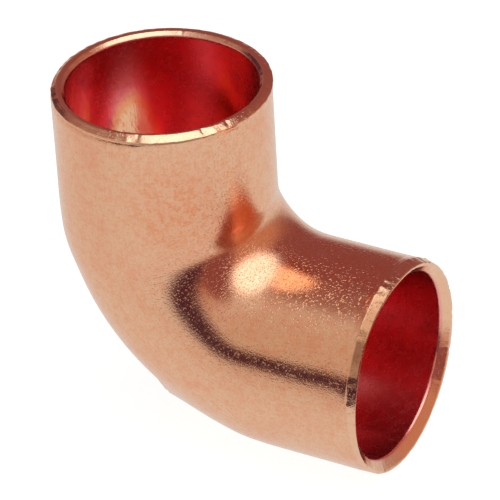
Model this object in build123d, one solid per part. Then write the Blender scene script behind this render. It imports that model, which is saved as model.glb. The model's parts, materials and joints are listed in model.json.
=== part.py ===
from build123d import *
import os

# Wrought copper 90 degree solder elbow for half inch water tube, with a socket at each end: one
# piece of copper tube, bent, with both ends swaged out into cups. Millimetres. +Z runs up the
# upper socket's axis and out of its mouth, +X runs along the side socket's axis and out of its
# mouth. The origin is the centre of the upper mouth, and the two axes cross straight below it.
# The solids are drawn about that crossing, and the finished elbow is moved down.

# --- driving dimensions ----------------------------------------------------------------------
TUBE_OD = 15.875          # half inch nominal water tube
SOLDER_GAP = 0.053        # radial gap that draws the solder in
SOCKET_DEPTH = 12.7       # from mouth to tube stop
CUP_WALL = 1.09           # wall of the swaged cups
BODY_WALL = 1.4           # wall of the bent tube between the cups
UPPER_LEG = 22.1          # from the crossing of the axes to the upper mouth
SIDE_LEG = 21.55          # from the crossing of the axes to the side mouth
BEND_RADIUS = 12.46       # centre line of the bend
BODY_DRAWN_IN = 0.12      # how much smaller the bent body's radius is than the cups'
NECK_START = 10.5         # distance from the crossing where a cup starts to draw in
NECK_RADIUS = 8.2         # soft turn of the wall there
NECK_ANGLE = 22.0         # slope of the wall after that turn, in degrees
SLOPE_LENGTH = 3.0        # the slope ends just inside the bent body
NECK_BLEND = 2.0          # blend where the necks run into the bent body
LIP_WIDTH = 0.32          # flat ring left on the cut ends
FLARE_RADIAL = 0.5        # bevel on the inside of the mouth, which lets the tube in
FLARE_AXIAL = 0.45
CHAMFER_AXIAL = 0.6       # steep bevel on the outside of the mouth

# --- sizes worked out from them ----------------------------------------------------------------
SOCKET_R = TUBE_OD / 2 + SOLDER_GAP
CUP_R = SOCKET_R + CUP_WALL
BODY_R = CUP_R - BODY_DRAWN_IN
WATERWAY_R = BODY_R - BODY_WALL
LIP_INNER_R = SOCKET_R + FLARE_RADIAL
LIP_OUTER_R = LIP_INNER_R + LIP_WIDTH

# Outlines that are turned about a leg are drawn in its plane as (radius, distance along the leg)
UPPER_PLANE = Plane.XZ
SIDE_PLANE = Plane(origin=(0, 0, 0), x_dir=(0, 0, -1), z_dir=(0, -1, 0))


def quarter_bend(radius):
    """Quarter torus from one axis round to the other."""
    section = Plane.XY.offset(BEND_RADIUS) * Circle(radius)
    bend_axis = Axis((BEND_RADIUS, 0, BEND_RADIUS), (0, -1, 0))
    return revolve(section, bend_axis, 90)


def turned(plane, outline):
    """Solid turned about the leg's axis from a closed outline."""
    return revolve(plane * make_face(outline), Axis(plane.origin, plane.y_dir))


def cup(plane, leg):
    """Outside of one cup: bevelled mouth, straight wall, and the neck that draws it in."""
    neck = CenterArc((CUP_R - NECK_RADIUS, NECK_START), NECK_RADIUS, 0, -NECK_ANGLE)
    slope_end = neck @ 1 + (neck % 1) * SLOPE_LENGTH
    rest = Polyline(
        neck @ 0,
        (CUP_R, leg - CHAMFER_AXIAL),
        (LIP_OUTER_R, leg),
        (0, leg),
        (0, slope_end.Y),
        slope_end,
        neck @ 1,
    )
    return turned(plane, neck + rest)


def socket(plane, leg):
    """Hollow of one cup: flared mouth, straight bore, and the stop that holds the tube."""
    stop = leg - SOCKET_DEPTH
    waterway_start = stop - (SOCKET_R - WATERWAY_R)
    outline = Polyline(
        (0, leg),
        (LIP_INNER_R, leg),
        (SOCKET_R, leg - FLARE_AXIAL),
        (SOCKET_R, stop),
        (WATERWAY_R, waterway_start),
        (0, waterway_start),
        close=True,
    )
    return turned(plane, outline)


def elbow_outside():
    """Bent body with a cup on each end, blended where the necks run into the bend."""
    solid = quarter_bend(BODY_R) + cup(UPPER_PLANE, UPPER_LEG) + cup(SIDE_PLANE, SIDE_LEG)
    joins = solid.edges().filter_by(GeomType.BSPLINE)
    return fillet(joins, NECK_BLEND)


def elbow_body():
    """The whole fitting: the outside less the waterway and the two sockets."""
    waterway = quarter_bend(WATERWAY_R)
    sockets = socket(UPPER_PLANE, UPPER_LEG) + socket(SIDE_PLANE, SIDE_LEG)
    return Pos(0, 0, -UPPER_LEG) * (elbow_outside() - waterway - sockets)


os.makedirs("parts", exist_ok=True)
export_step(elbow_body(), "parts/elbow_body.step")
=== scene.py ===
import json
import math

import bpy
import numpy as np
from mathutils import Matrix, Vector


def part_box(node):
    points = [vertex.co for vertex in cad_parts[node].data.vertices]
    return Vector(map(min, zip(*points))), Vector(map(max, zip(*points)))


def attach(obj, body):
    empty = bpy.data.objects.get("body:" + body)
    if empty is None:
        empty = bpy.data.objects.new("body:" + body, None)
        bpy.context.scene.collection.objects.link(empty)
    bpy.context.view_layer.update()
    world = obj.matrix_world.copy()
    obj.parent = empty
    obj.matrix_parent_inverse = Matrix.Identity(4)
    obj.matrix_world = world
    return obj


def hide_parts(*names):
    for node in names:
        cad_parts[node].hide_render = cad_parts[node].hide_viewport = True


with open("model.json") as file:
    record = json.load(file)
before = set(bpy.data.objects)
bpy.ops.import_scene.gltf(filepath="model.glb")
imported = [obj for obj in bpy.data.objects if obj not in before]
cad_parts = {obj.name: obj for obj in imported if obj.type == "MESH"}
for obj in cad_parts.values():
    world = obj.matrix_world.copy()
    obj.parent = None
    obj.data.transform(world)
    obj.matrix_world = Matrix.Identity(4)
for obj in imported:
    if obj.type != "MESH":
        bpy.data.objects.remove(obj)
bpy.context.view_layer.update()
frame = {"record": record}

# A bent and swaged copper solder elbow on a pale floor. Metres, in the frame of the CAD model: +Z
# out of the upper mouth, +X out of the side mouth, the origin at the centre of the upper mouth.
# The skin is worked out about the crossing of the two axes, which is UPPER_LEG below the origin.

MM = 0.001
MOUNTS = {m["name"]: m for m in frame["record"]["mounts"]}
LOWEST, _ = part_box("elbow_body")
RANDOM = np.random.default_rng(7)

# --- sizes read from the CAD model --------------------------------------------------------------
SOCKET_R = MOUNTS["side_socket"]["dims"]["r_mm"] * MM
SIDE_LEG = MOUNTS["side_socket"]["pos_m"][0]
UPPER_LEG = -MOUNTS["side_socket"]["pos_m"][2]
FLOOR_Z = LOWEST.z

# --- the bent body ------------------------------------------------------------------------------
# The bend, body radius, swells, necks and creases were fitted to the photograph outside this
# script and rounded.
BEND_R = 12.46 * MM            # centre line of the bend
BODY_R = 9.0 * MM
CHEEK_SWELL = 0.2 * MM         # bending leaves the tube oval: wider across the bend
HEEL_SWELL = 0.12 * MM         # and fuller on the heel than in the throat
BODY_WALL = 1.4 * MM
SOCKET_DEPTH = 12.7 * MM
STRAIGHT_BLEND = 0.3 * MM      # rounding where the walls run nearly in line, more where they meet
CUP_WALL = 1.09 * MM
CUP_R = SOCKET_R + CUP_WALL
CUP_ENDS = 2 * MM              # a cup's own skin stops this far from the crossing of the axes
STOP_BLEND = 0.25 * MM         # rounding of the tube stops

# each cup draws in towards the bend: where it starts, the radius of the turn, the slope after it
UPPER_NECK = (9.93 * MM, 8.9 * MM, 0.368)
SIDE_NECK = (10.4 * MM, 9.4 * MM, 0.226)
UPPER_CREASE = 0.3 * MM
SIDE_CREASE = 1.75 * MM

# --- mesh density -------------------------------------------------------------------------------
AROUND = 400
ALONG = 126
INSIDE = 60
BEVEL_LINES = 7
HALVINGS = 26                  # steps of the search for the skin, enough for a billionth of a metre
SMALLEST = 1e-14               # keeps a square root off zero

# --- unevenness ---------------------------------------------------------------------------------
WAVE_COUNT = 30
WAVE_TURN = 0.9 / MM           # fastest wave along the tube, radians per metre
WAVE_SIZE = 0.016 * MM
CROOK_PLACE = 9.8 * MM         # how far down the upper cup its swelling is
CROOK_SWELLING = (205, 28, 2.4 * MM, 0.25 * MM)
BUMP_DEPTH = 0.0075 * MM
GRAIN_SCALE = 7.5
CUTTER_LINE = 0.002 * MM       # lines left by the cutter round the bevel and the flare
WAVE_FADE = 3 * MM             # how far from the rims the waves have died out
GROOVE_PLACE = 0.07 * MM       # below the bevel's edge
GROOVE_DEPTH = 0.02 * MM
BURR_LIMITS = (-0.01 * MM, 0.05 * MM)
EDGE_DROP = 0.02 * MM          # how far the lip's two edges are rounded down

ANGLES = np.linspace(0, 2 * math.pi, AROUND, endpoint=False)
LENGTH = UPPER_LEG + SIDE_LEG - 2 * BEND_R + BEND_R * math.pi / 2


# --- the skin as a distance ---------------------------------------------------------------------
def smooth_min(a, b, blend):
    """The smaller of two distances, rounded over where they meet."""
    near = np.clip(blend - np.abs(a - b), 0, None) / blend
    return np.minimum(a, b) - near * near * blend / 4


def neck(h, start, turn_r, slope):
    """Outside radius of a cup at the distance h from the crossing of the axes, and its slope."""
    turn_end = start - turn_r * math.sin(slope)
    end_r = CUP_R - turn_r * (1 - math.cos(slope))
    rise = np.sqrt(np.clip(turn_r**2 - (start - h) ** 2, SMALLEST, None))
    in_turn = (h > turn_end) & (h <= start)
    straight = np.where(h > start, CUP_R, end_r - (turn_end - h) * math.tan(slope))
    radius = np.where(in_turn, CUP_R - turn_r + rise, straight)
    tilt = np.where(in_turn, (start - h) / rise, np.where(h > start, 0, math.tan(slope)))
    return radius, tilt


def bend_distance(x, y, z, radius, cheek, heel):
    """Distance outside the bent tube, and the direction away from its centre line."""
    a, b = BEND_R - x, BEND_R - z
    reach = np.hypot(a, b)
    ox = np.where((a > 0) & (b > 0), -a / reach * (reach - BEND_R), np.where(b <= 0, x, 0))
    oz = np.where((a > 0) & (b > 0), -b / reach * (reach - BEND_R), np.where(b <= 0, 0, z))
    away = np.sqrt(ox**2 + oz**2 + y**2)
    nx, ny, nz = ox / away, y / away, oz / away
    in_arc = (a > 0) & (b > 0)
    towards_heel = np.where(in_arc, -(nx * a + nz * b) / reach, np.where(b <= 0, -nx, -nz))
    return away - radius - heel * towards_heel - cheek * ny**2, (nx, ny, nz)


def cup_distance(radial, along, y, h, shape):
    """Distance outside one cup, and its outward direction as (along radial, y, along the leg)."""
    radius, tilt = neck(h, *shape)
    flat = 1 / np.sqrt(1 + tilt**2)
    distance = (radial - radius) * flat + np.clip(CUP_ENDS - h, 0, None)
    return distance, (along / radial * flat, y / radial * flat, -tilt * flat)


def outside(x, y, z):
    """Distance outside the elbow's skin, about the crossing of the axes."""
    bend, (bx, by, bz) = bend_distance(x, y, z, BODY_R, CHEEK_SWELL, HEEL_SWELL)
    upper, (ux, uy, uz) = cup_distance(np.hypot(x, y), x, y, z, UPPER_NECK)
    side, (sz, sy, sx) = cup_distance(np.hypot(z, y), z, y, x, SIDE_NECK)
    turn_upper = 1 - (bx * ux + by * uy + bz * uz) ** 2
    turn_side = 1 - (bx * sx + by * sy + bz * sz) ** 2
    joined = smooth_min(bend, upper, STRAIGHT_BLEND + UPPER_CREASE * turn_upper)
    return smooth_min(joined, side, STRAIGHT_BLEND + SIDE_CREASE * turn_side) + STRAIGHT_BLEND / 4


def hollow(x, y, z):
    """Distance outside the waterway and the two sockets: the tube stops are soft shoulders."""
    water_r = BODY_R - BODY_WALL
    bend, _ = bend_distance(x, y, z, water_r, 0, 0)
    upper_r = SOCKET_R - np.clip(UPPER_LEG - SOCKET_DEPTH - z, 0, None)
    side_r = SOCKET_R - np.clip(SIDE_LEG - SOCKET_DEPTH - x, 0, None)
    sockets = np.minimum(np.hypot(x, y) - upper_r, np.hypot(z, y) - side_r)
    return smooth_min(bend, sockets, STOP_BLEND)


# --- rings round the centre line ----------------------------------------------------------------
def station(s):
    """The centre line s metres from the upper mouth: x, z and the direction towards the heel."""
    straight = UPPER_LEG - BEND_R
    turn = np.clip((s - straight) / BEND_R, 0, math.pi / 2)
    after = np.clip(s - straight - BEND_R * math.pi / 2, 0, None)
    before = np.clip(straight - s, 0, None)
    x = BEND_R - BEND_R * np.cos(turn) + after
    z = BEND_R - BEND_R * np.sin(turn) + before
    return x, z, -np.cos(turn), -np.sin(turn)


def ring_points(s, radius):
    """Points round the centre line at the distances s and the given radii, in the part's frame.
    Distances and radii may change round the ring."""
    x, z, ox, oz = station(np.broadcast_to(s, radius.shape))
    c, q = np.cos(ANGLES)[None], np.sin(ANGLES)[None]
    return np.stack([x + radius * c * ox, radius * q, z + radius * c * oz - UPPER_LEG], -1)


def solve_radius(s, field, low, high):
    """Radius at each station and angle where a distance field is zero, found by halving."""
    low, high = np.full((len(s), AROUND), low), np.full((len(s), AROUND), high)
    for _ in range(HALVINGS):
        middle = (low + high) / 2
        p = ring_points(s[:, None], middle)
        beyond = field(p[..., 0], p[..., 1], p[..., 2] + UPPER_LEG) > 0
        low, high = np.where(beyond, low, middle), np.where(beyond, middle, high)
    return (low + high) / 2


def ripple(waves, size):
    """Smooth random change round a ring, from a few waves."""
    total = np.zeros(AROUND)
    for k in waves:
        total += RANDOM.normal() * np.cos(k * ANGLES + RANDOM.uniform(0, 2 * math.pi))
    return size * total / math.sqrt(len(waves))


def nicks(count, width, size):
    """Narrow random dents round a ring."""
    total = np.zeros(AROUND)
    for _ in range(count):
        gap = np.angle(np.exp(1j * (ANGLES - RANDOM.uniform(0, 2 * math.pi))))
        total += RANDOM.uniform(0.3, 1) * np.exp(-((gap / (width * RANDOM.uniform(0.6, 1.6))) ** 2))
    return size * total


def unevenness(s):
    """Slight waves of the drawn skin, fading out at the rims."""
    total = np.zeros((len(s), AROUND))
    for _ in range(WAVE_COUNT):
        around, along = RANDOM.integers(1, 8), RANDOM.uniform(-WAVE_TURN, WAVE_TURN)
        phase = along * s[:, None] + around * ANGLES + RANDOM.uniform(0, 2 * math.pi)
        total += RANDOM.normal() * np.cos(phase)
    fade = np.clip(np.minimum(s - s[0], s[-1] - s) / WAVE_FADE, 0, 1)[:, None]
    return WAVE_SIZE * fade * total / math.sqrt(WAVE_COUNT)


def moved_circle(radius, shift):
    """Radius round the ring of a circle that is off centre: towards angle 0 and angle 90."""
    return radius + shift[0] * np.cos(ANGLES) + shift[1] * np.sin(ANGLES)


def crook_swelling(s):
    """The upper cup bulges a little above the crook, where bending pushed metal together."""
    angle, half_angle, half_length, height = CROOK_SWELLING
    gap = np.angle(np.exp(1j * (ANGLES - math.radians(angle)))) / math.radians(half_angle)
    far = (s[:, None] - CROOK_PLACE) / half_length
    return height * np.exp(-(gap**2 + far**2) / 2)


class Rim:
    """The cut end of one cup: bevel outside, narrow lip, flare inside. It was cut a little off
    centre, so the bevel's width changes round the mouth, and it is knocked in at one place: the
    ring angle, the half width in degrees and the depth. Depths are from the mouth."""

    def __init__(self, lip_in, lip_out, in_shift, out_shift, bevel_steepness, flare, knock):
        where, width, depth = knock
        gap = np.angle(np.exp(1j * (ANGLES - math.radians(where))))
        self.knock = depth * np.exp(-((gap / math.radians(width)) ** 2))
        self.lip_in = moved_circle(lip_in, in_shift) + ripple(range(4, 40), 0.012 * MM)
        bevel_end = np.minimum(moved_circle(lip_out, out_shift), CUP_R - 0.02 * MM)
        self.lip_out = bevel_end + ripple(range(6, 50), 0.010 * MM)
        bevel = (CUP_R - bevel_end) * bevel_steepness
        self.bevel = bevel + ripple(range(2, 6), 0.02 * MM) + ripple(range(12, 60), 0.016 * MM)
        self.flare = flare + ripple(range(1, 5), 0.02 * MM) + ripple(range(9, 40), 0.012 * MM)

    def slope(self, start, end):
        """Rings down a cut slope between two (depth, radius) rings, with the cutter's lines."""
        rings = []
        for k in range(1, BEVEL_LINES):
            part = k / BEVEL_LINES
            line = RANDOM.normal() * CUTTER_LINE + ripple(range(1, 9), CUTTER_LINE)
            depth = start[0] + (end[0] - start[0]) * part
            rings.append((depth + line, start[1] + (end[1] - start[1]) * part - line))
        return rings

    def rings(self):
        """(depth, radius) of each ring, from the skin round to the bore."""
        burr = np.clip(ripple(range(6, 70), 0.02 * MM), *BURR_LIMITS)
        dents = nicks(30, 0.014, 0.05 * MM)
        inner_dents = nicks(20, 0.012, 0.04 * MM)
        top = ripple(range(2, 60), 0.008 * MM)
        middle = (self.lip_in + self.lip_out) / 2
        skin = np.full(AROUND, CUP_R)
        bevel_edge = (self.bevel, skin + 0.01 * MM + burr)
        lip_edge = (self.knock + EDGE_DROP + dents, self.lip_out - dents)
        bore_edge = (self.knock + EDGE_DROP + inner_dents, self.lip_in + inner_dents)
        bore = (self.flare, np.full(AROUND, SOCKET_R))
        groove = (self.bevel + GROOVE_PLACE, skin - GROOVE_DEPTH)
        rings = [(self.bevel + 0.2 * MM, skin), groove, (self.bevel + 0.03 * MM, skin + burr)]
        rings += [bevel_edge] + self.slope(bevel_edge, lip_edge) + [lip_edge]
        rings += [(self.knock + top, middle), bore_edge] + self.slope(bore_edge, bore) + [bore]
        return rings


UPPER_RIM = Rim(
    lip_in=8.27 * MM,
    lip_out=8.64 * MM,
    in_shift=(0.03 * MM, 0.06 * MM),
    out_shift=(0.10 * MM, 0.18 * MM),
    bevel_steepness=0.64,
    flare=0.29 * MM,
    knock=(120, 40, 0.03 * MM),
)
SIDE_RIM = Rim(
    lip_in=8.76 * MM,
    lip_out=8.95 * MM,
    in_shift=(0.12 * MM, -0.10 * MM),
    out_shift=(0.13 * MM, 0.04 * MM),
    bevel_steepness=4.0,
    flare=0.66 * MM,
    knock=(220, 26, 0.22 * MM),
)


def elbow_rings():
    """Rings of the whole elbow in order: along the outside, over the side rim, back through the
    inside and over the upper rim. Gives their points, their place on the straightened tube, and
    how far each is a cut face, inside, or the groove under the bevel."""
    upper = UPPER_RIM.rings()
    side = [(LENGTH - depth, radius) for depth, radius in SIDE_RIM.rings()]
    skin_s = np.linspace(upper[0][0].max() + 0.1 * MM, side[0][0].min() - 0.1 * MM, ALONG)
    bore_s = np.linspace(side[-1][0].min() - 0.2 * MM, upper[-1][0].max() + 0.2 * MM, INSIDE)
    skin = solve_radius(skin_s, outside, 6 * MM, 11.9 * MM) + unevenness(skin_s)
    skin += crook_swelling(skin_s)
    bore = solve_radius(bore_s, hollow, 6 * MM, 9 * MM)
    wide = np.ones(AROUND)
    rows = [(s * wide, r, 0, 0, 0) for s, r in zip(skin_s, skin)]
    rows += rim_rows(side)
    rows += [(s * wide, r, 0, 1, 0) for s, r in zip(bore_s, bore)]
    rows += rim_rows(upper)[::-1]
    s = np.array([row[0] for row in rows])
    r = np.array([row[1] for row in rows])
    marks = np.array([row[2:] for row in rows], float)
    straightened = np.stack([r * np.cos(ANGLES), r * np.sin(ANGLES), s], -1) / MM
    return ring_points(s, r), straightened, marks


def rim_rows(rings):
    """Rings of one rim with their marks: the groove, then cut faces, then the dark lining, which
    starts a little way up the flare."""
    groove, first_cut, first_lined = 1, 4, len(rings) - 2
    return [
        (s, r, float(i >= first_cut), float(i >= first_lined), float(i == groove))
        for i, (s, r) in enumerate(rings)
    ]


def ring_mesh(name, points, straightened, marks):
    """Closed mesh through a loop of rings, with place and marks kept on its points."""
    count, around = points.shape[:2]
    index = np.arange(count * around).reshape(count, around)
    after = np.roll(index, -1, 0)
    faces = np.stack([index, after, np.roll(after, -1, 1), np.roll(index, -1, 1)], -1)
    mesh = bpy.data.meshes.new(name)
    mesh.from_pydata(points.reshape(-1, 3).tolist(), [], faces.reshape(-1, 4).tolist())
    mesh.shade_smooth()
    place = mesh.attributes.new("straightened", "FLOAT_VECTOR", "POINT")
    place.data.foreach_set("vector", straightened.astype(np.float32).ravel())
    for column, label in enumerate(("cut", "inside", "groove")):
        mark = mesh.attributes.new(label, "FLOAT", "POINT")
        mark.data.foreach_set("value", np.repeat(marks[:, column], around).astype(np.float32))
    piece = bpy.data.objects.new(name, mesh)
    bpy.context.scene.collection.objects.link(piece)
    return piece


# --- shader nodes -------------------------------------------------------------------------------
def node(tree, kind, inputs=None, **settings):
    """Adds a node, sets its own settings, then sets its inputs or links them."""
    made = tree.nodes.new(kind)
    for name, value in settings.items():
        setattr(made, name, value)
    for key, value in (inputs or {}).items():
        if isinstance(value, bpy.types.NodeSocket):
            tree.links.new(value, made.inputs[key])
        else:
            made.inputs[key].default_value = value
    return made


def maths(tree, operation, a, b=0.0):
    return node(tree, "ShaderNodeMath", {0: a, 1: b}, operation=operation).outputs[0]


def mix(tree, factor, a, b):
    """Colour a where the factor is 0 and b where it is 1."""
    made = node(tree, "ShaderNodeMix", data_type="RGBA")
    for socket, value in ((made.inputs[0], factor), (made.inputs[6], a), (made.inputs[7], b)):
        if isinstance(value, bpy.types.NodeSocket):
            tree.links.new(value, socket)
        else:
            socket.default_value = value
    return made.outputs[2]


def noise(tree, vector, scale, detail=2.0, roughness=0.5, stretch=(1, 1, 1)):
    """Noise from 0 to 1 about 0.5. The stretch squeezes the place first, in each direction."""
    moved = node(tree, "ShaderNodeMapping", {"Vector": vector, "Scale": stretch}).outputs[0]
    values = {"Vector": moved, "Scale": scale, "Detail": detail, "Roughness": roughness}
    return node(tree, "ShaderNodeTexNoise", values).outputs["Fac"]


def ramp(tree, value, low, high, out_low=0.0, out_high=1.0):
    values = {"Value": value, "From Min": low, "From Max": high}
    values.update({"To Min": out_low, "To Max": out_high})
    return node(tree, "ShaderNodeMapRange", values, interpolation_type="SMOOTHSTEP").outputs[0]


# --- copper -------------------------------------------------------------------------------------
TAN = (0.93, 0.61, 0.405, 1)
PINK = (0.93, 0.52, 0.35, 1)
ORANGE = (0.90, 0.38, 0.20, 1)
# Painted reflection: red that stands for the side cup mirrored in the upper cup above the crook.
CROOK_REFLECTION_RED = (0.88, 0.24, 0.14, 1)
FRESH_CUT = (0.98, 0.68, 0.47, 1)
CRIMSON = (0.98, 0.27, 0.30, 1)
# Painted highlight: orange of the streaks of light inside the upper socket.
STREAK_HIGHLIGHT_ORANGE = (0.97, 0.42, 0.20, 1)
# Painted reflection: tan of the wedge of light mirrored inside the upper socket.
WEDGE_REFLECTION_TAN = (0.98, 0.62, 0.38, 1)
# Painted dark reflection: near black for the dark line mirrored in the groove under the front of the
# upper bevel.
GROOVE_DARK_REFLECTION = (0.22, 0.07, 0.05, 1)
# Deeper crimson and purple tones of the inside, laid at one place and in clouds.
DEEP_CRIMSON = (0.88, 0.15, 0.15, 1)
DARK_PURPLE = (0.55, 0.12, 0.16, 1)
# Painted dark reflection: brown that stands for the dark of the room mirrored in the cut faces at
# the front of the side rim.
BEVEL_DARK_REFLECTION = (0.36, 0.155, 0.075, 1)

# Places on the straightened tube where the colour differs: centre and half sizes in mm. The warm
# centre, the painted red reflection above the crook and the painted reflection wedge inside come
# from points picked in the photograph, through the fitted camera; the last two were then moved, and
# the other places were set one by one.
WARM_PATCH = ((-5.2, -7.4, 7.2), (4.0, 3.0, 5.0))
# Painted reflection: the place of the red painted above the crook.
CROOK_REFLECTION_PATCH = ((-8.3, -3.5, 9.8), (2.6, 2.2, 2.4))
# Painted reflection: the wedge of light inside the upper socket.
WEDGE_REFLECTION_PATCH = ((6.2, 5.0, 10.5), (2.6, 2.6, 5.6))
# Painted highlights: two streaks of light inside the upper socket.
STREAK_HIGHLIGHT_PATCHES = (((7.9, 0.5, 7.5), (1.3, 1.3, 5.0)), ((-1.4, 7.9, 6.5), (1.3, 1.3, 5.5)))
DEEP_CRIMSON_PATCH = ((6.2, 5.0, 2.6), (3.5, 3.5, 2.8))
PIMPLED_PATCH = ((-8.0, -3.5, 29.0), (4.5, 5.0, 10.0))
# Painted dark reflection: where the groove under the upper bevel is painted near black.
GROOVE_REFLECTION_PATCH = ((-4.9, -7.6, 0.5), (3.5, 3.5, 3.5))
# Painted dark reflection: where the side rim's cut faces are painted brown.
BEVEL_DARK_REFLECTION_PATCH = ((-6.9, -5.8, 38.0), (5.0, 5.0, 3.0))


def attribute(tree, name, output="Fac"):
    return node(tree, "ShaderNodeAttribute", attribute_name=name).outputs[output]


def near_patch(tree, place, patch, wander):
    """1 in the middle of an oval place on the straightened tube, 0 outside, with a loose edge."""
    centre, size = patch
    values = {"Vector": place, "Location": centre, "Scale": size}
    local = node(tree, "ShaderNodeMapping", values, vector_type="TEXTURE").outputs[0]
    reach = node(tree, "ShaderNodeVectorMath", {0: local}, operation="LENGTH").outputs["Value"]
    return ramp(tree, maths(tree, "ADD", reach, wander), 0.8, 1.9, 1.0, 0.0)


def copper_colour(tree, place, painted_reflection):
    """Pink copper with warmer clouds, specks and drawing lines and crimson inside, with painted
    light laid over it: a painted red reflection above the crook, a painted dark reflection on the
    cut faces at the front of the side rim and a painted dark reflection in the groove under the
    front of the upper bevel.
    """
    cloud = ramp(tree, noise(tree, place, 0.30, 4, 0.6), 0.45, 0.7)
    mottle = noise(tree, place, 1.6, 5, 0.75)
    speck = ramp(tree, noise(tree, place, 4.5, 4, 0.8), 0.42, 0.68)
    streak = ramp(tree, noise(tree, place, 1.0, 3, 0.6, (6, 6, 0.4)), 0.5, 0.75)
    warm = near_patch(tree, place, WARM_PATCH, mottle)
    # Painted reflection: red above the crook, standing for the side cup mirrored there.
    crook_reflection = near_patch(tree, place, CROOK_REFLECTION_PATCH, mottle)
    blotch = ramp(tree, mottle, 0.46, 0.62)
    colour = mix(tree, maths(tree, "MULTIPLY", cloud, 0.7), TAN, PINK)
    colour = mix(tree, maths(tree, "MULTIPLY", blotch, 0.4), colour, ORANGE)
    colour = mix(tree, maths(tree, "MULTIPLY", warm, 0.3), colour, ORANGE)
    colour = mix(tree, maths(tree, "MULTIPLY", warm, blotch), colour, ORANGE)
    colour = mix(tree, maths(tree, "MULTIPLY", crook_reflection, 0.7), colour, CROOK_REFLECTION_RED)
    colour = mix(tree, maths(tree, "MULTIPLY", speck, 0.6), colour, ORANGE)
    colour = mix(tree, maths(tree, "MULTIPLY", streak, 0.35), colour, ORANGE)
    colour = mix(tree, attribute(tree, "inside"), colour, lining_colour(tree, place, painted_reflection))
    cut = attribute(tree, "cut")
    colour = mix(tree, maths(tree, "MULTIPLY", cut, 0.5), colour, FRESH_CUT)
    # Painted dark reflection: brown on the cut faces at the front of the side rim.
    bevel_dark_reflection = maths(tree, "MULTIPLY", near_patch(tree, place, BEVEL_DARK_REFLECTION_PATCH, mottle), cut)
    colour = mix(tree, maths(tree, "MULTIPLY", bevel_dark_reflection, 0.85), colour, BEVEL_DARK_REFLECTION)
    # Painted dark reflection: near black in the groove under the front of the upper bevel.
    groove_dark_reflection = near_patch(tree, place, GROOVE_REFLECTION_PATCH, mottle)
    return mix(tree, maths(tree, "MULTIPLY", attribute(tree, "groove"), groove_dark_reflection), colour, GROOVE_DARK_REFLECTION)


def lining_colour(tree, place, painted_reflection):
    """Crimson with darker clouds, going to orange where highlights are painted and then to tan where
    a reflection of the light is painted.
    """
    dots = noise(tree, place, 3.0, 3, 0.7)
    lining_tone = mix(tree, near_patch(tree, place, DEEP_CRIMSON_PATCH, dots), CRIMSON, DEEP_CRIMSON)
    purple = ramp(tree, noise(tree, place, 0.25, 3, 0.6), 0.55, 0.68)
    lining_tone = mix(tree, maths(tree, "MULTIPLY", purple, 0.5), lining_tone, DARK_PURPLE)
    # Painted highlight streaks in orange, then the painted reflection wedge in tan, over the
    # crimson.
    streak_highlight = mix(tree, ramp(tree, painted_reflection, 0.2, 0.5), lining_tone, STREAK_HIGHLIGHT_ORANGE)
    return mix(tree, ramp(tree, painted_reflection, 0.5, 0.75), streak_highlight, WEDGE_REFLECTION_TAN)


def lining_reflections(tree, place):
    """How strongly reflections are painted on the lining: one broad wedge of painted reflection and
    two streaks of painted highlight.
    """
    reflection_noise = noise(tree, place, 1.6, 4, 0.75, (2, 2, 0.6))
    painted_reflection = near_patch(tree, place, WEDGE_REFLECTION_PATCH, reflection_noise)
    for patch in STREAK_HIGHLIGHT_PATCHES:
        streak = maths(tree, "MULTIPLY", near_patch(tree, place, patch, reflection_noise), 0.55)
        painted_reflection = maths(tree, "MAXIMUM", painted_reflection, streak)
    return maths(tree, "MULTIPLY", painted_reflection, ramp(tree, reflection_noise, 0.25, 0.55))


def copper_height(tree, place):
    """Fine matt grain and sparse pimples over lines drawn along the tube, with a few pits."""
    grain = noise(tree, place, GRAIN_SCALE, 1, 0.5)
    pimples = ramp(tree, noise(tree, place, GRAIN_SCALE * 0.7, 1, 0.5), 0.58, 0.74)
    drawn = noise(tree, place, 1.0, 3, 0.6, (6, 6, 0.5))
    pits = ramp(tree, noise(tree, place, 2.2, 1, 0.5), 0.2, 0.3)
    height = maths(tree, "ADD", grain, maths(tree, "MULTIPLY", drawn, 0.5))
    pimpled = maths(tree, "ADD", near_patch(tree, place, PIMPLED_PATCH, drawn), 0.45)
    mostly_outside = ramp(tree, attribute(tree, "inside"), 0, 1, 2.0, 0.1)
    pimpled = maths(tree, "MULTIPLY", pimpled, mostly_outside)
    pimples = maths(tree, "MULTIPLY", pimples, pimpled)
    height = maths(tree, "ADD", height, pimples)
    return maths(tree, "ADD", height, maths(tree, "MULTIPLY", pits, 0.4))


def copper():
    material = bpy.data.materials.new("copper")
    material.use_nodes = True
    tree = material.node_tree
    shader = tree.nodes["Principled BSDF"]
    place = attribute(tree, "straightened", "Vector")
    # How strongly reflections are painted on the lining; the lining is made smoother there too.
    painted_reflection = lining_reflections(tree, place)
    tree.links.new(copper_colour(tree, place, painted_reflection), shader.inputs["Base Color"])
    skin_rough = ramp(tree, noise(tree, place, 1.5, 3, 0.6), 0.3, 0.7, 0.09, 0.16)
    lining_rough = ramp(tree, painted_reflection, 0, 0.6, 0.13, 0.03)
    lined = maths(tree, "MULTIPLY", attribute(tree, "inside"), lining_rough)
    tree.links.new(maths(tree, "ADD", skin_rough, lined), shader.inputs["Roughness"])
    shader.inputs["Metallic"].default_value = 1
    height = copper_height(tree, place)
    bump = node(tree, "ShaderNodeBump", {"Height": height, "Strength": 1, "Distance": BUMP_DEPTH})
    tree.links.new(bump.outputs[0], shader.inputs["Normal"])
    return material


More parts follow.
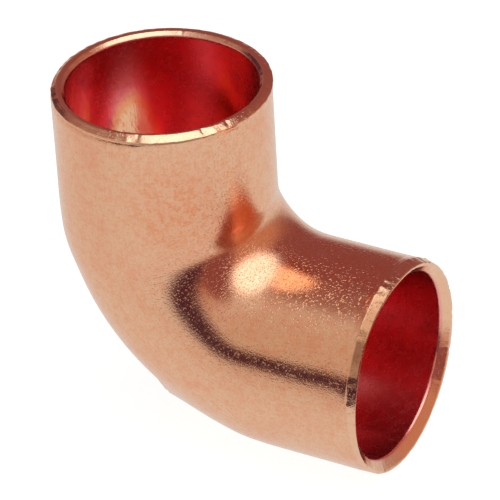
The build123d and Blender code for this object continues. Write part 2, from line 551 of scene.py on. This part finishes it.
# --- studio -------------------------------------------------------------------------------------
# What the copper mirrors. All but dark_flag were fitted to the photograph's reflections outside this
# script and rounded; dark_flag, some softnesses and some tones were set one by one. The names are a
# guess at what each might be: a white table, a large soft light to the left, a bright one overhead
# to the right, and a dim warm room behind, beside the camera and past the table's edge.
WHITE_TABLE = (0.76, 0.73, 0.71)
SOFT_LIGHT = (0.62, 0.49, 0.41)
BRIGHT_LIGHT = (1.6, 1.6, 1.55)
WARM_WALL = (0.56, 0.27, 0.18)
DIM_ROOM = (0.27, 0.09, 0.09)
DARK_GAP = (0.08, 0.03, 0.05)
FLOOR_HALF = 2.0
FLOOR_GREY = (0.35, 0.35, 0.35, 1)
FLOOR_GLOW = 0.9               # lifts the pale floor to near white
BACK_FADE = 0.125              # cosine over which an oval ends, near a right angle from its centre

# Each is an oval on the sky, laid over those before it: compass angle from the front (-Y) round to
# the right, height angle, half width, half height and tilt in degrees, edge softness, tone.
PANELS = {
    "room_behind": (-155, 45, 75, 50, 10, 0.15, DIM_ROOM),
    "left_softbox": (-40, 20, 55, 40, 20, 0.5, SOFT_LIGHT),
    "right_wall": (85, 20, 65, 40, 5, 0.2, WARM_WALL),
    "overhead_softbox": (80, 70, 25, 35, -15, 0.25, BRIGHT_LIGHT),
    "table_edge": (20, 0, 50, 12, -5, 0.35, DARK_GAP),
    "camera_side": (60, 15, 36, 18, -45, 0.2, DIM_ROOM),
    "table_corner": (-20, 4, 16, 7, -12, 0.35, DARK_GAP),
    "dark_flag": (-100, 20, 24, 13, 40, 0.3, DARK_GAP),
}


def panel_axes(azimuth, elevation, tilt):
    """Rotation whose columns are a panel's centre, its right and its top."""
    az, el = math.radians(azimuth), math.radians(elevation)
    centre = Vector((math.cos(el) * math.sin(az), -math.cos(el) * math.cos(az), math.sin(el)))
    right = Vector((math.cos(az), math.sin(az), 0))
    top = Vector((-math.sin(el) * math.sin(az), math.sin(el) * math.cos(az), math.cos(el)))
    level = Matrix((centre, right, top)).transposed()
    return level @ Matrix.Rotation(math.radians(tilt), 3, "X")


def panel_mask(tree, direction, azimuth, elevation, half_width, half_height, tilt, soft):
    """1 inside an oval on the sky, 0 outside it."""
    turn = panel_axes(azimuth, elevation, tilt).to_euler()
    size = (1, math.sin(math.radians(half_width)), math.sin(math.radians(half_height)))
    local = node(
        tree,
        "ShaderNodeMapping",
        {"Vector": direction, "Rotation": turn, "Scale": size},
        vector_type="TEXTURE",
    ).outputs[0]
    parts = node(tree, "ShaderNodeSeparateXYZ", {0: local})
    across = maths(tree, "POWER", maths(tree, "ABSOLUTE", parts.outputs[1]), 2.0)
    up = maths(tree, "POWER", maths(tree, "ABSOLUTE", parts.outputs[2]), 2.0)
    reach = maths(tree, "SQRT", maths(tree, "ADD", across, up))
    ahead = ramp(tree, parts.outputs[0], 0.0, BACK_FADE)
    return maths(tree, "MULTIPLY", ramp(tree, reach, 1 - soft, 1 + soft, 1.0, 0.0), ahead)


def studio():
    """Sky of soft panels for the copper to mirror. The camera sees plain white instead."""
    world = bpy.data.worlds.new("studio")
    world.use_nodes = True
    tree = world.node_tree
    direction = node(tree, "ShaderNodeTexCoord").outputs["Generated"]
    colour = (*WHITE_TABLE, 1)
    for azimuth, elevation, half_width, half_height, tilt, soft, light in PANELS.values():
        mask = panel_mask(tree, direction, azimuth, elevation, half_width, half_height, tilt, soft)
        colour = mix(tree, mask, colour, (*light, 1))
    seen = node(tree, "ShaderNodeLightPath").outputs["Is Camera Ray"]
    tree.links.new(mix(tree, seen, colour, (1, 1, 1, 1)), tree.nodes["Background"].inputs["Color"])
    bpy.context.scene.world = world


def floor():
    """Pale floor that the copper does not mirror: the sky's lower half stands for it there."""
    corners = [(-FLOOR_HALF, -FLOOR_HALF), (FLOOR_HALF, -FLOOR_HALF)]
    corners += [(FLOOR_HALF, FLOOR_HALF), (-FLOOR_HALF, FLOOR_HALF)]
    mesh = bpy.data.meshes.new("floor")
    mesh.from_pydata([(x, y, FLOOR_Z) for x, y in corners], [], [(0, 1, 2, 3)])
    plane = bpy.data.objects.new("floor", mesh)
    bpy.context.scene.collection.objects.link(plane)
    material = bpy.data.materials.new("floor")
    material.use_nodes = True
    shader = material.node_tree.nodes["Principled BSDF"]
    shader.inputs["Base Color"].default_value = FLOOR_GREY
    shader.inputs["Roughness"].default_value = 1
    shader.inputs["Specular IOR Level"].default_value = 0
    shader.inputs["Emission Color"].default_value = (1, 1, 1, 1)
    shader.inputs["Emission Strength"].default_value = FLOOR_GLOW
    mesh.materials.append(material)
    plane.visible_glossy = False


# --- camera -------------------------------------------------------------------------------------
# Fitted to the elbow's outline and rims in the photograph, outside this script.
CAMERA_AIM = Vector((4.28, 5.37, -18.45)) * MM
CAMERA_AZIMUTH = 30.42         # degrees round from the front (-Y) to the right
CAMERA_ELEVATION = 33.02
CAMERA_ROLL = 3.27
CAMERA_DISTANCE = 297 * MM
LENS_MM = 251.9
SENSOR_MM = 36
NEAREST_SEEN = 0.01


def camera():
    """Long lens in front, to the right and above, held slightly askew."""
    data = bpy.data.cameras.new("camera")
    data.lens = LENS_MM
    data.sensor_width = SENSOR_MM
    data.clip_start = NEAREST_SEEN
    view = bpy.data.objects.new("camera", data)
    turn = Matrix.Rotation(math.radians(CAMERA_AZIMUTH), 4, "Z")
    tip = Matrix.Rotation(math.radians(90 - CAMERA_ELEVATION), 4, "X")
    roll = Matrix.Rotation(math.radians(-CAMERA_ROLL), 4, "Z")
    view.matrix_world = Matrix.Translation(CAMERA_AIM) @ turn @ tip @ roll
    view.matrix_world = view.matrix_world @ Matrix.Translation((0, 0, CAMERA_DISTANCE))
    bpy.context.scene.collection.objects.link(view)
    bpy.context.scene.camera = view


elbow = ring_mesh("copper_elbow", *elbow_rings())
elbow.data.materials.append(copper())
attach(elbow, "root")
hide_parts("elbow_body")
floor()
studio()
camera()
bpy.context.scene.view_settings.view_transform = "Standard"
